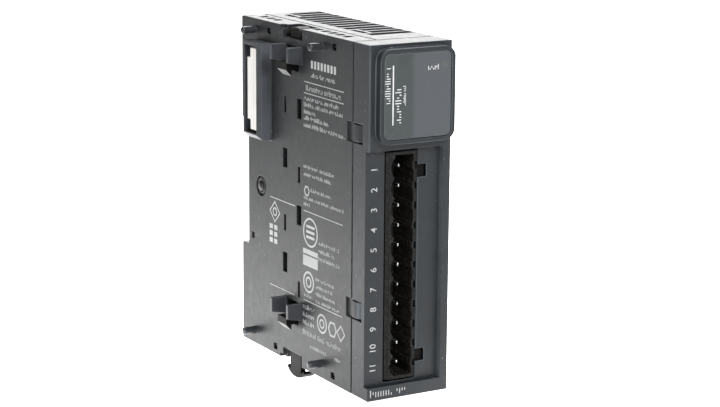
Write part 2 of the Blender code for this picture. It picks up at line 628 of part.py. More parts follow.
def build_bus_connectors(white):
    plug = stepped_connector(-3.7, MAIN_BOARD_X - GAP)
    middle = (BUS_FRONT + BUS_BACK) / 2
    finish(plug, "bus_plug", white, (-3.7, middle, BUS_CENTRE_Z))
    socket = stepped_connector(OUTPUT_BOARD_X + BOARD_THICKNESS + GAP, WIDTH - 0.9)
    cut(socket, block((20.2, BUS_FRONT + 1.2, BUS_CENTRE_Z - 7.2),
                      (WIDTH, BUS_BACK - 1.2, BUS_CENTRE_Z + 7.2)))
    finish(socket, "bus_socket", white, (WIDTH - 0.9, middle, BUS_CENTRE_Z))


# ---------------------------------------------------------------- moving parts and fasteners


def finger_grip(upward):
    """The thin curved plate at the end of a lock slider, as (y, z)."""
    half = GRIP_WIDTH / 2
    radius = (half * half + GRIP_SAG * GRIP_SAG) / (2 * GRIP_SAG)
    swing = math.asin(half / radius)
    angles = [-swing + 2 * swing * i / 12 for i in range(13)]
    outer = [(radius * math.sin(a), radius - radius * math.cos(a)) for a in angles]
    inner_radius = radius - GRIP_THICKNESS
    inner = [(inner_radius * math.sin(a), radius - inner_radius * math.cos(a)) for a in reversed(angles)]
    side = -1 if upward else 1
    edge = HEIGHT - 0.1 if upward else -4.1
    return [(LOCK_CENTRE + y, edge + side * z) for y, z in outer + inner]


def build_lock(name, at_top, plastic):
    """A lock slider: a stem in the wall's channel, a finger grip, and a hook outside the window."""
    tip = HOOK_TIPS[name]
    neck_bottom = tip + HOOK_HEIGHT - NECK_HEIGHT
    neck_top = tip + HOOK_HEIGHT
    stem_span = (neck_bottom, HEIGHT - 0.7) if at_top else (-3.5, neck_top)
    slider = block((LOCK_LEFT, LOCK_FRONT, stem_span[0]), (LOCK_RIGHT, LOCK_BACK, stem_span[1]))
    grip = prism(finger_grip(at_top), "X", LOCK_LEFT, GRIP_RIGHT)
    hook = [(LOCK_LEFT + 0.5, neck_bottom), (HOOK_INNER, neck_bottom), (HOOK_INNER, tip),
            (HOOK_OUTER, tip + HOOK_INNER - HOOK_OUTER), (HOOK_OUTER, neck_top),
            (LOCK_LEFT + 0.5, neck_top)]
    add(slider, grip, prism(hook, "Y", LOCK_FRONT, LOCK_FRONT + HOOK_WIDTH))
    return finish(slider, name, plastic, ((LOCK_LEFT + LOCK_RIGHT) / 2, LOCK_CENTRE, neck_top))


def build_din_clip(plastic):
    """The sliding rail clip: a plate inside, a nose over the rail's lower edge and a pull tab below."""
    clip = block((CLIP_LEFT, CLIP_FRONT, -CLIP_TAB), (CLIP_RIGHT, CLIP_FRONT + CLIP_THICKNESS, CLIP_TOP))
    nose_front = SEAT_Y + RAIL_THICKNESS + 0.3
    nose_back = DEPTH - 0.3
    nose_bottom, nose_top = RAIL_BOTTOM - 8.0, RAIL_BOTTOM + RAIL_GRIP
    nose = [(CLIP_FRONT + 0.5, nose_bottom), (nose_back, nose_bottom), (nose_back, nose_top - 1.2),
            (nose_back - 1.2, nose_top), (nose_front, nose_top), (nose_front, CLIP_TOP - 0.2),
            (CLIP_FRONT + 0.5, CLIP_TOP - 0.2)]
    add(clip, prism(nose, "X", NOSE_LEFT, NOSE_RIGHT))
    tool_slot = block((9.0, CLIP_FRONT - 1.0, -1.8), (14.6, CLIP_FRONT + CLIP_THICKNESS + 1.0, -0.6))
    cut(clip, tool_slot)
    for left in CLIP_ARM_SLOTS:
        cut(clip, block((left, CLIP_FRONT - 1.0, 6.0),
                        (left + CLIP_ARM_SLOT_WIDTH, CLIP_FRONT + 4.0, CLIP_TOP - 1.6)))
    centre_x = (CLIP_LEFT + CLIP_RIGHT) / 2
    return finish(clip, "din_clip", plastic, (centre_x, CLIP_FRONT + CLIP_THICKNESS / 2, 0.0))


def build_case_rivet(plastic):
    """The domed rivet that holds the two halves together near the rail seat."""
    dome = [(0.5 - 0.95 * math.sin(a), RIVET_RADIUS * math.cos(a)) for a in (1.3, 1.0, 0.7, 0.4, 0.0)]
    profile = dome + [(0.6, RIVET_SHAFT), (21.0, RIVET_SHAFT), (21.6, RIVET_SHAFT - 0.5)]
    rivet = turned(profile, "X", (RIVET_Y, RIVET_Z), 20)
    return finish(rivet, "case_rivet", plastic, (0.15, RIVET_Y, RIVET_Z))


def build():
    clear_scene()
    root = bpy.data.objects.new("module", None)
    bpy.context.collection.objects.link(root)
    charcoal = make_material("charcoal_plastic", (0.068, 0.07, 0.073), 0.55)
    bezel_plastic = make_material("bezel_plastic", (0.055, 0.062, 0.068), 0.5)
    glossy = make_material("window_gloss", (0.075, 0.088, 0.092), 0.12)
    header_plastic = make_material("header_plastic", (0.03, 0.028, 0.026), 0.6)
    lock_plastic = make_material("lock_plastic", (0.04, 0.036, 0.032), 0.5)
    white = make_material("connector_white", (0.82, 0.8, 0.76), 0.45)
    tin = make_material("tin_plate", (0.8, 0.8, 0.78), 0.25, 1.0)
    clear = make_material("clear_acrylic", (0.8, 0.86, 0.84), 0.1)
    board = make_material("circuit_board", (0.02, 0.16, 0.07), 0.4)
    epoxy = make_material("chip_epoxy", (0.02, 0.02, 0.022), 0.5)
    ferrite = make_material("ferrite", (0.05, 0.05, 0.055), 0.7)
    copper = make_material("winding_tape", (0.6, 0.42, 0.08), 0.5)
    aluminium = make_material("capacitor_can", (0.6, 0.6, 0.62), 0.35, 0.8)
    diode = make_material("led_resin", (0.75, 0.85, 0.7), 0.2)
    build_left_cover(charcoal)
    build_right_case(charcoal)
    build_front_bezel(bezel_plastic)
    build_label_window(glossy)
    build_light_pipe(clear)
    build_terminal_header(header_plastic)
    build_terminal_pins(tin)
    build_boards(board)
    build_components(epoxy, ferrite, copper, aluminium, header_plastic, diode)
    build_bus_connectors(white)
    build_lock("top_lock", True, lock_plastic)
    build_lock("bottom_lock", False, lock_plastic)
    build_din_clip(lock_plastic)
    build_case_rivet(charcoal)


build()
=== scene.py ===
"""Looks of the slim DIN-rail module: refined pieces, materials, light and camera round the CAD frame."""

import math
import random

import bmesh
import bpy
from mathutils import Matrix, Vector
from mathutils.kdtree import KDTree


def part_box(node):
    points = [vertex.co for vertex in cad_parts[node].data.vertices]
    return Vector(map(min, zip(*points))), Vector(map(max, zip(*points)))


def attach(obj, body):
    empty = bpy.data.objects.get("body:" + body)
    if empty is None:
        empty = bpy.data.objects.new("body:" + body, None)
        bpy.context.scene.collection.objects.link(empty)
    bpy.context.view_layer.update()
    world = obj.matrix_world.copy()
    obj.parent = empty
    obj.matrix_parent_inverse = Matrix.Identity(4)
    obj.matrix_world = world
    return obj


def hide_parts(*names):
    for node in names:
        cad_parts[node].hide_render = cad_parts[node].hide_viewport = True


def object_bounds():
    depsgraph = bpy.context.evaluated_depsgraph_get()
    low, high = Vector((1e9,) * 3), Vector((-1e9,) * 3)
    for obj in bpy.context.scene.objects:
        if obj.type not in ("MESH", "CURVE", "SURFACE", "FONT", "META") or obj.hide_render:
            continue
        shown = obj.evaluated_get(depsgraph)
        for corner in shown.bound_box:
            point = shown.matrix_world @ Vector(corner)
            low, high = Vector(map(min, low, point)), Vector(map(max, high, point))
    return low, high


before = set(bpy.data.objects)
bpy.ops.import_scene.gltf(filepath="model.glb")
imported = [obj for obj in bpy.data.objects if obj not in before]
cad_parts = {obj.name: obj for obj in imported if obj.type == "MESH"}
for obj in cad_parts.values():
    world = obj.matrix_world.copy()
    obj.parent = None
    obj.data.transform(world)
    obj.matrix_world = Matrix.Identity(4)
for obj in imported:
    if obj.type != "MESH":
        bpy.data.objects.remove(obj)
CAD_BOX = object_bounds()

MM = 0.001
WIDTH, HEIGHT, SEAT_Y = 23.6, 90.0, 64.8
ORIGIN = Vector((WIDTH / 2, SEAT_Y, HEIGHT / 2))

# camera: metres and degrees; the sensor keeps its default width of 36 mm
CAMERA_PLACE = (-0.26008, -0.48738, 0.11178)
CAMERA_AZIMUTH, CAMERA_ELEVATION, CAMERA_ROLL = -30.19, 12.18, 0.44
CAMERA_LENS = 102.2

# stage, in metres: a floor with a round bend up into the backdrop
STAGE_TURN = math.radians(-30.0)
STAGE_REACH, STAGE_BEND, STAGE_BACK = 4.0, 0.9, 2.2
STAGE_BEND_STEPS = 16

# lights: place in metres, size in metres, power in watts
LIGHT_TARGET = (0.0, -0.03, 0.0)
LIGHTS = {"key": ((-0.12, -1.15, 0.8), (0.45, 0.45), 14.5),
          "left": ((-1.1, -0.2, 0.35), (0.4, 0.4), 2.9),
          "top": ((-0.1, 0.5, 1.2), (1.0, 0.6), 6.0)}

# places on the housing, in its own millimetres
PIN_COUNT = 11
PEG_DEPTHS, PEG_HEIGHTS = (23.6, 60.7), (4.0, 86.9)
GUARD_BOTTOMS = (80.0, 12.0)
PLUG_LATCH_CENTRES = (9.8, 57.5)
HOOK_TIPS = {"top_lock": 77.65, "bottom_lock": 9.85}
RIVET_CENTRE = (57.3, 45.0)
CAPACITOR_DEPTH, CAPACITOR_HEIGHTS = 49.0, (34.0, 56.0)
FAINT_GREY_LINES = ((54.3, 0.00008, 0.0002, 1.0), (55.7, 0.00005, 0.00015, 0.7))
CHIP_LEADS = {"converter_chip": 8, "bus_controller_chip": 11, "output_driver_chip": 8,
              "isolator_1": 4, "isolator_2": 4, "isolator_3": 4}

# side print: it is laid out forward from this depth
PRINT_START = 60.0
SIDE_RULES = ((33.2, 12.6, 76.65), (33.2, 12.6, 73.73), (33.2, 12.7, 42.8), (52.0, 38.0, 43.0),
              (52.2, 38.0, 18.9), (33.2, 12.8, 18.9))


def at(x, y, z):
    """Housing millimetres, from the left side, front plane and bottom edge, to metres in the frame."""
    return (Vector((x, y, z)) - ORIGIN) * MM


# ---------------------------------------------------------------- camera, floor and light


def aim(obj, azimuth, elevation, roll=0.0):
    """Points an object's -Z along the view from an azimuth and elevation given in degrees."""
    a, e, s = math.radians(azimuth), math.radians(elevation), math.radians(roll)
    right = Vector((math.cos(a), math.sin(a), 0.0))
    back = Vector((math.sin(a) * math.cos(e), -math.cos(a) * math.cos(e), math.sin(e)))
    up = back.cross(right)
    turned_right = right * math.cos(s) + up * math.sin(s)
    turned_up = up * math.cos(s) - right * math.sin(s)
    axes = Matrix((turned_right, turned_up, back)).transposed().to_4x4()
    obj.matrix_world = Matrix.Translation(obj.location) @ axes


def make_camera():
    camera = bpy.data.objects.new("camera", bpy.data.cameras.new("camera"))
    bpy.context.collection.objects.link(camera)
    camera.location = CAMERA_PLACE
    camera.data.lens = CAMERA_LENS
    camera.data.clip_start = 0.01
    camera.data.dof.use_dof = False
    aim(camera, CAMERA_AZIMUTH, CAMERA_ELEVATION, CAMERA_ROLL)
    bpy.context.scene.camera = camera


def area_light(name, place, size, power):
    light = bpy.data.lights.new(name, "AREA")
    light.shape = "RECTANGLE"
    light.size, light.size_y = size
    light.energy = power
    obj = bpy.data.objects.new(name, light)
    bpy.context.collection.objects.link(obj)
    obj.location = place
    direction = Vector(LIGHT_TARGET) - Vector(place)
    obj.rotation_euler = direction.to_track_quat("-Z", "Y").to_euler()


def make_stage():
    """A pale floor that curves up into a backdrop behind the module."""
    floor_z = CAD_BOX[0][2]
    profile = [(-STAGE_REACH, 0.0)]
    profile += [(STAGE_BACK - STAGE_BEND + STAGE_BEND * math.sin(a), STAGE_BEND - STAGE_BEND * math.cos(a))
                for a in (math.pi / 2 * i / STAGE_BEND_STEPS for i in range(STAGE_BEND_STEPS + 1))]
    profile.append((STAGE_BACK, STAGE_REACH))
    bm = bmesh.new()
    turn = Matrix.Rotation(STAGE_TURN, 3, "Z")
    rings = []
    for y, z in profile:
        rings.append([bm.verts.new(turn @ Vector((x, y, z)) + Vector((0, 0, floor_z)))
                      for x in (-STAGE_REACH, STAGE_REACH)])
    for near, far in zip(rings, rings[1:]):
        bm.faces.new((near[0], near[1], far[1], far[0]))
    mesh = bpy.data.meshes.new("stage")
    bm.to_mesh(mesh)
    bm.free()
    mesh.shade_smooth()
    stage = bpy.data.objects.new("stage", mesh)
    bpy.context.collection.objects.link(stage)
    mesh.materials.append(stage_paper())


def stage_paper():
    """White paper with a painted glow: emission brightest in front of the camera and dimmer to the module's
    left.
    """
    n = Nodes("stage_paper")
    n.set("Base Color", (0.86, 0.86, 0.86))
    n.set("Roughness", 0.8)
    n.set("Emission Color", (1.0, 1.0, 1.0))
    across = n.along((math.cos(STAGE_TURN), math.sin(STAGE_TURN), 0.0))
    behind = n.along((-math.sin(STAGE_TURN), math.cos(STAGE_TURN), 0.0))
    widening = n.math("MAXIMUM", behind, 0.0)
    left = n.fade(n.math("ADD", across, n.math("MULTIPLY", widening, 0.2)), -0.18, -0.085, 0.0, 1.0)
    right = n.fade(n.math("SUBTRACT", across, n.math("MULTIPLY", widening, 0.35)), 0.1, 0.4, 1.0, 0.12)
    front = n.fade(behind, -0.1, -0.005, 0.05, 1.0)
    glow = n.fade(n.along((0.0, 0.0, 1.0)), 0.0, 0.3, 2.2, 3.4)
    reach = n.math("MULTIPLY", n.math("MULTIPLY", left, right), front)
    n.join(n.math("MULTIPLY", reach, glow), n.shader.inputs["Emission Strength"])
    return n.material


def make_light():
    world = bpy.data.worlds.new("studio")
    bpy.context.scene.world = world
    world.use_nodes = True
    background = world.node_tree.nodes["Background"]
    background.inputs["Color"].default_value = (0.93, 0.96, 1.0, 1.0)
    background.inputs["Strength"].default_value = 0.07
    for name, (place, size, power) in LIGHTS.items():
        area_light(name, place, size, power)
    scene = bpy.context.scene
    scene.view_settings.view_transform = "Standard"
    scene.view_settings.look = "None"
    scene.view_settings.exposure = 0.0


# ---------------------------------------------------------------- materials


class Nodes:
    """Short calls for building one material's node tree."""

    def __init__(self, name):
        self.material = bpy.data.materials.new(name)
        self.material.use_nodes = True
        self.tree = self.material.node_tree
        self.shader = self.tree.nodes["Principled BSDF"]
        self.place = self.add("ShaderNodeTexCoord").outputs["Object"]

    def add(self, kind, **settings):
        node = self.tree.nodes.new(kind)
        for key, value in settings.items():
            setattr(node, key, value)
        return node

    def join(self, source, target):
        self.tree.links.new(source, target)

    def noise(self, scale, detail=3.0, roughness=0.55):
        node = self.add("ShaderNodeTexNoise")
        node.inputs["Scale"].default_value = scale
        node.inputs["Detail"].default_value = detail
        node.inputs["Roughness"].default_value = roughness
        self.join(self.place, node.inputs["Vector"])
        return node.outputs["Fac"]

    def ramp(self, source, stops):
        node = self.add("ShaderNodeValToRGB")
        ramp = node.color_ramp
        while len(ramp.elements) < len(stops):
            ramp.elements.new(0.5)
        for element, (position, colour) in zip(ramp.elements, stops):
            element.position = position
            element.color = (*colour, 1.0) if isinstance(colour, tuple) else (colour, colour, colour, 1.0)
        self.join(source, node.inputs["Fac"])
        return node.outputs["Color"]

    def blend(self, factor, first, second):
        node = self.add("ShaderNodeMix", data_type="RGBA")
        sockets = (node.inputs["Factor"], node.inputs[6], node.inputs[7])
        for value, socket in zip((factor, first, second), sockets):
            if isinstance(value, bpy.types.NodeSocket):
                self.join(value, socket)
            elif isinstance(value, tuple):
                socket.default_value = (*value, 1.0)
            else:
                socket.default_value = value
        return node.outputs[2]

    def bump(self, height, strength, distance=0.0001, normal=None):
        node = self.add("ShaderNodeBump")
        node.inputs["Strength"].default_value = strength
        node.inputs["Distance"].default_value = distance
        self.join(height, node.inputs["Height"])
        if normal is not None:
            self.join(normal, node.inputs["Normal"])
        return node.outputs["Normal"]

    def math(self, operation, first, second):
        node = self.add("ShaderNodeMath", operation=operation)
        for value, socket in ((first, node.inputs[0]), (second, node.inputs[1])):
            if isinstance(value, bpy.types.NodeSocket):
                self.join(value, socket)
            else:
                socket.default_value = value
        return node.outputs[0]

    def fade(self, source, start, end, first, last):
        """A smooth step from the first value at start to the last value at end."""
        node = self.add("ShaderNodeMapRange", interpolation_type="SMOOTHSTEP")
        self.join(source, node.inputs["Value"])
        for socket, value in (("From Min", start), ("From Max", end), ("To Min", first), ("To Max", last)):
            node.inputs[socket].default_value = value
        return node.outputs["Result"]

    def along(self, direction):
        """The distance along a direction, in the object's own metres."""
        node = self.add("ShaderNodeVectorMath", operation="DOT_PRODUCT")
        self.join(self.place, node.inputs[0])
        node.inputs[1].default_value = direction
        return node.outputs["Value"]

    def distance(self, point):
        """The distance from a point, in metres."""
        node = self.add("ShaderNodeVectorMath", operation="DISTANCE")
        self.join(self.place, node.inputs[0])
        node.inputs[1].default_value = point
        return node.outputs["Value"]

    def stretched(self, scales):
        """Makes every later texture follow the object's axes at these scales."""
        node = self.add("ShaderNodeMapping", vector_type="POINT")
        node.inputs["Scale"].default_value = scales
        self.join(self.place, node.inputs["Vector"])
        self.place = node.outputs["Vector"]

    def stripes(self, axis, scale, distortion=0.0):
        node = self.add("ShaderNodeTexWave", bands_direction=axis)
        node.inputs["Scale"].default_value = scale
        node.inputs["Distortion"].default_value = distortion
        self.join(self.place, node.inputs["Vector"])
        return node.outputs["Fac"]

    def cells(self, scale, feature="F1"):
        node = self.add("ShaderNodeTexVoronoi", feature=feature)
        node.inputs["Scale"].default_value = scale
        self.join(self.place, node.inputs["Vector"])
        return node.outputs["Distance"]

    def set(self, socket, value):
        if isinstance(value, bpy.types.NodeSocket):
            self.join(value, self.shader.inputs[socket])
        elif isinstance(value, tuple):
            self.shader.inputs[socket].default_value = (*value, 1.0)
        else:
            self.shader.inputs[socket].default_value = value


def scaled(colour, factor):
    return tuple(min(1.0, channel * factor) for channel in colour)


def moulded_plastic(name, colour, roughness, grain=2600.0, grain_strength=0.35, specular=0.5):
    """Spark-textured moulded plastic: a fine grain over a slight flow mottle, with a few specks of dust."""
    n = Nodes(name)
    mottle = n.ramp(n.noise(90.0, 4.0), [(0.3, scaled(colour, 0.88)), (0.7, scaled(colour, 1.14))])
    dust = n.ramp(n.noise(1300.0, 1.0, 0.4), [(0.77, 0.0), (0.8, 1.0)])
    n.set("Base Color", n.blend(dust, mottle, tuple(max(channel, 0.2) for channel in colour)))
    n.set("Roughness", n.ramp(n.noise(420.0, 2.0), [(0.25, roughness - 0.05), (0.75, roughness + 0.06)]))
    n.set("Specular IOR Level", specular)
    fine = n.noise(grain, 2.0, 0.6)
    coarse = n.noise(grain / 7.0, 2.0)
    n.set("Normal", n.bump(fine, grain_strength, 0.00005, n.bump(coarse, grain_strength * 0.5, 0.00005)))
    return n.material


MATERIALS = {}


def plastic(key, colour, roughness, *grain, edge=1.5):
    """A plastic, and a smoother copy for its rounded edges whose lighter colour is a painted highlight."""
    MATERIALS[key] = moulded_plastic(key + "_plastic", colour, roughness, *grain)
    edge_highlight = scaled(colour, edge)
    MATERIALS[key + "_edge"] = moulded_plastic(key + "_edge", edge_highlight, roughness - 0.1, 1500.0, 0.1)


def window_gloss():
    """Smoked glossy cover with a painted reflection, greener and darker to the left and lighter to the right,
    with the shade of a light pipe behind it.
    """
    n = Nodes("window_gloss")
    # painted reflection: the tint runs from dark green on the left to a lighter blue-grey on the right
    side = n.fade(n.along((1.0, 0.0, 0.0)), at(10.4, 0, 0).x, at(12.2, 0, 0).x, 0.0, 1.0)
    tint = n.blend(side, (0.036, 0.047, 0.048), (0.066, 0.073, 0.082))
    shade = n.fade(n.distance(at(8.4, -2.05, 86.0)), 0.0006, 0.0028, 0.45, 0.0)
    led = n.fade(n.distance(at(20.25, -2.05, 84.4)), 0.0007, 0.0012, 0.3, 0.0)
    tint = n.blend(led, n.blend(shade, tint, (0.02, 0.027, 0.028)), (0.12, 0.12, 0.105))
    dust = n.ramp(n.noise(2300.0, 1.0, 0.4), [(0.77, 0.0), (0.8, 0.35)])
    n.set("Base Color", n.blend(dust, tint, (0.3, 0.31, 0.33)))
    n.set("Roughness", n.ramp(n.noise(300.0), [(0.3, 0.1), (0.7, 0.17)]))
    n.set("Coat Weight", 0.5)
    n.set("Coat Roughness", 0.05)
    return n.material


def dusty_plastic(name, colour, dust):
    """Dark matt plastic with light dust caught in its grain."""
    n = Nodes(name)
    speck = n.ramp(n.noise(1400.0, 3.0, 0.7), [(0.5, 0.0), (0.72, 0.6)])
    n.set("Base Color", n.blend(speck, colour, dust))
    n.set("Roughness", n.ramp(n.noise(600.0), [(0.3, 0.5), (0.7, 0.7)]))
    n.set("Specular IOR Level", 0.25)
    n.set("Normal", n.bump(n.noise(1800.0), 0.25, 0.00005))
    return n.material


def connector_white():
    """White moulded plastic with two faint grey lines down its face."""
    n = Nodes("connector_white")
    y = n.along((0.0, 1.0, 0.0))
    shades = []
    for depth, core, edge, strength in FAINT_GREY_LINES:
        away = n.math("ABSOLUTE", n.math("SUBTRACT", y, at(0, depth, 0).y), 0.0)
        shades.append(n.fade(away, core, edge, strength, 0.0))
    lines = n.math("MAXIMUM", *shades)
    plain = n.ramp(n.noise(120.0), [(0.3, (0.88, 0.86, 0.83)), (0.7, (0.93, 0.91, 0.88))])
    n.set("Base Color", n.blend(lines, plain, (0.74, 0.725, 0.7)))
    n.set("Roughness", n.ramp(n.noise(500.0), [(0.3, 0.36), (0.7, 0.46)]))
    n.set("Normal", n.bump(n.noise(1500.0), 0.08, 0.00005))
    return n.material


def tin_plate():
    n = Nodes("tin_plate")
    n.stretched((1.0, 0.15, 1.0))
    n.set("Base Color", n.ramp(n.noise(900.0), [(0.3, (0.7, 0.7, 0.68)), (0.7, (0.85, 0.85, 0.83))]))
    n.set("Metallic", 1.0)
    n.set("Roughness", n.ramp(n.noise(2400.0), [(0.3, 0.18), (0.7, 0.34)]))
    return n.material


def circuit_board():
    """Green solder mask over tracks that run up and along the board, with tinned pads."""
    n = Nodes("circuit_board")
    mask = n.ramp(n.noise(60.0), [(0.35, (0.004, 0.045, 0.018)), (0.7, (0.006, 0.06, 0.026))])
    tracks = n.math("MULTIPLY", n.ramp(n.stripes("Z", 95.0, 2.5), [(0.62, 0.0), (0.68, 1.0)]),
                    n.ramp(n.noise(85.0, 1.0), [(0.48, 0.0), (0.5, 1.0)]))
    cross = n.math("MULTIPLY", n.ramp(n.stripes("Y", 95.0, 2.5), [(0.66, 0.0), (0.7, 1.0)]),
                   n.ramp(n.noise(85.0, 1.0), [(0.45, 1.0), (0.47, 0.0)]))
    copper = n.blend(n.math("MAXIMUM", tracks, cross), mask, (0.014, 0.13, 0.05))
    pads = n.ramp(n.cells(240.0), [(0.14, 1.0), (0.17, 0.0)])
    n.set("Base Color", n.blend(pads, copper, (0.7, 0.7, 0.66)))
    n.set("Roughness", n.ramp(n.noise(800.0), [(0.3, 0.28), (0.7, 0.4)]))
    n.set("Normal", n.bump(n.math("MAXIMUM", tracks, cross), 0.3, 0.00004))
    return n.material


def wound_tape():
    n = Nodes("winding_tape")
    wraps = n.stripes("X", 420.0, 1.2)
    n.set("Base Color", n.ramp(wraps, [(0.1, (0.42, 0.27, 0.04)), (0.4, (0.62, 0.43, 0.08))]))
    n.set("Roughness", n.ramp(n.noise(500.0), [(0.3, 0.3), (0.7, 0.5)]))
    n.set("Normal", n.bump(wraps, 0.4, 0.00008))
    return n.material


def brushed_can():
    n = Nodes("capacitor_can")
    n.stretched((0.08, 1.0, 1.0))
    brush = n.noise(3200.0, 4.0, 0.7)
    n.set("Base Color", n.ramp(brush, [(0.3, (0.5, 0.5, 0.52)), (0.7, (0.68, 0.68, 0.7))]))
    n.set("Metallic", 0.9)
    n.set("Roughness", n.ramp(brush, [(0.3, 0.25), (0.7, 0.42)]))
    return n.material


def clear_plastic(name, tint, roughness, transmission):
    n = Nodes(name)
    n.set("Base Color", n.ramp(n.noise(200.0), [(0.3, scaled(tint, 0.92)), (0.7, tint)]))
    n.set("Roughness", n.ramp(n.noise(600.0), [(0.3, roughness), (0.7, roughness + 0.08)]))
    n.set("Transmission Weight", transmission)
    n.set("IOR", 1.49)
    return n.material


def make_materials():
    # each plastic's _edge copy is its colour made lighter by the edge factor: a painted highlight on the
    # rounded edges
    plastic("housing", (0.022, 0.0235, 0.025), 0.4)
    plastic("collar", (0.044, 0.048, 0.054), 0.36, 2200.0, 0.2)
    plastic("bezel", (0.022, 0.026, 0.0295), 0.41, edge=3.0)
    plastic("lock", (0.008, 0.0072, 0.006), 0.48, 1500.0, 0.12, 0.15)
    plastic("clip", (0.013, 0.015, 0.012), 0.45, 1500.0, 0.12, 0.35)
    plastic("epoxy", (0.012, 0.012, 0.013), 0.5, 3000.0, 0.3, 0.4, edge=1.3)
    plastic("ferrite", (0.04, 0.04, 0.044), 0.65, 1200.0, 0.5, 0.3, edge=1.4)
    MATERIALS.update(
        ink=moulded_plastic("printed_ink", (0.5, 0.51, 0.51), 0.5, 3000.0, 0.1),
        bright_ink=moulded_plastic("bright_ink", (0.78, 0.79, 0.8), 0.4, 3000.0, 0.1),
        polished=moulded_plastic("polished_housing", (0.03, 0.034, 0.038), 0.2, 900.0, 0.08, 0.7),
        shadowed=moulded_plastic("shadowed_bezel", (0.006, 0.006, 0.006), 0.6, 2000.0, 0.2, 0.2),
        # painted light: a lighter colour for the collar's forward-facing faces
        collar_front=moulded_plastic("collar_front", (0.082, 0.09, 0.102), 0.4, 2200.0, 0.2),
        # painted light: a lighter colour for the recess's right wall
        rim_wall=moulded_plastic("rim_wall", (0.1, 0.11, 0.12), 0.4, 2200.0, 0.2),
        # painted highlight: a light colour for the hooks' downward chamfers
        hook_tip=moulded_plastic("hook_tip", (0.3, 0.3, 0.29), 0.3, 2000.0, 0.1),
        # painted highlight: a lighter bluish colour for the lower snap tongue
        glint=moulded_plastic("snap_painted_glint", (0.095, 0.11, 0.135), 0.3, 2000.0, 0.1),
        window=window_gloss(),
        # painted highlight: a lighter colour for the cover's rounded edge
        window_edge=moulded_plastic("window_edge", (0.13, 0.145, 0.15), 0.2, 2000.0, 0.05),
        rivet=moulded_plastic("rivet_plastic", (0.012, 0.0125, 0.0135), 0.32, 1500.0, 0.1),
        header=dusty_plastic("header_plastic", (0.0085, 0.0082, 0.0078), (0.042, 0.041, 0.038)),
        # painted highlight: a lighter copy, dust included, for the header's rounded edges
        header_edge=dusty_plastic("header_edge", (0.013, 0.0127, 0.012), (0.075, 0.073, 0.069)),
        inner=dusty_plastic("header_inside", (0.008, 0.007, 0.006), (0.09, 0.083, 0.072)),
        white=connector_white(),
        tin=tin_plate(),
        board=circuit_board(),
        tape=wound_tape(),
        can=brushed_can(),
        clear=clear_plastic("clear_acrylic", (0.85, 0.92, 0.9), 0.06, 0.85),
        resin=clear_plastic("led_resin", (0.75, 0.88, 0.7), 0.12, 0.5))
    for key in ("white", "tin", "board", "tape", "can", "clear", "resin"):
        MATERIALS[key + "_edge"] = MATERIALS[key]


# ---------------------------------------------------------------- refined pieces


def link(name, bm, *materials):
    mesh = bpy.data.meshes.new(name)
    bm.to_mesh(mesh)
    bm.free()
    for material in materials:
        mesh.materials.append(MATERIALS[material])
    obj = bpy.data.objects.new(name, mesh)
    bpy.context.collection.objects.link(obj)
    return obj


def bake(obj):
    """Replaces an object's mesh with the result of its modifiers."""
    result = bpy.data.meshes.new_from_object(obj.evaluated_get(bpy.context.evaluated_depsgraph_get()))
    obj.modifiers.clear()
    obj.data = result


def polish(obj, sharp=40.0):
    """Smooth shading whose normals follow the large faces, so flat faces stay flat."""
    obj.data.shade_smooth()
    obj.data.set_sharp_from_angle(angle=math.radians(sharp))
    normals = obj.modifiers.new("normals", "WEIGHTED_NORMAL")
    normals.keep_sharp = True
    bake(obj)


def cad_copy(node):
    """The CAD node's mesh as clean flat faces: doubles merged and coplanar triangles joined."""
    bm = bmesh.new()
    bm.from_mesh(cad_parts[node].data)
    bmesh.ops.remove_doubles(bm, verts=bm.verts, dist=1.5e-5)
    bmesh.ops.dissolve_limit(bm, angle_limit=math.radians(0.6), verts=bm.verts, edges=bm.edges,
                             delimit={"NORMAL"})
    bmesh.ops.recalc_face_normals(bm, faces=bm.faces)
    return bm


def folded_places(mesh):
    """The corners of triangles that face against their polygon, where two bevels have crossed."""
    mesh.calc_loop_triangles()
    places = []
    for triangle in mesh.loop_triangles:
        polygon = mesh.polygons[triangle.polygon_index]
        if triangle.area > 1e-11 and triangle.normal.dot(polygon.normal) < 0.3:
            places += [mesh.vertices[i].co for i in triangle.vertices]
    return places


def rounded(name, bm, material, radius, fine=0.5, segments=2, sharper_than=30.0):
    """An object from bm with every sharp edge rounded: long edges by the radius, short ones by less."""
    layer = bm.edges.layers.float.new("bevel_weight_edge")
    for edge in bm.edges:
        if len(edge.link_faces) != 2 or edge.calc_face_angle(0.0) < math.radians(sharper_than):
            continue
        room = radius if edge.calc_length() > 20 * radius else radius * fine
        for corner in edge.verts:
            for other in corner.link_edges:
                if other is not edge and set(other.link_faces) & set(edge.link_faces):
                    room = min(room, 0.42 * other.calc_length())
        edge[layer] = room / radius
    obj = link(name, bm, material, material + "_edge")
    bevel = obj.modifiers.new("bevel", "BEVEL")
    # the rounded edges take the material's _edge copy, which for the plastics is lighter: a painted highlight
    bevel.material = 1
    bevel.limit_method = "WEIGHT"
    bevel.width = radius
    bevel.segments = segments
    bevel.use_clamp_overlap = False
    bevel.loop_slide = False
    for _ in range(8):
        result = bpy.data.meshes.new_from_object(obj.evaluated_get(bpy.context.evaluated_depsgraph_get()))
        places = folded_places(result)
        if not places:
            break
        near = KDTree(len(places))
        for i, place in enumerate(places):
            near.insert(place, i)
        near.balance()
        weights = obj.data.attributes["bevel_weight_edge"].data
        for edge in obj.data.edges:
            ends = [obj.data.vertices[i].co for i in edge.vertices]
            if min(near.find(end)[2] for end in ends) < 2.5 * radius:
                weights[edge.index].value *= 0.5
        obj.data.update()
    bake(obj)
    polish(obj)
    return obj


def stand_for(piece, body, slot, *nodes):
    if nodes:
        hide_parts(*nodes)
    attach(piece, body)
    return piece


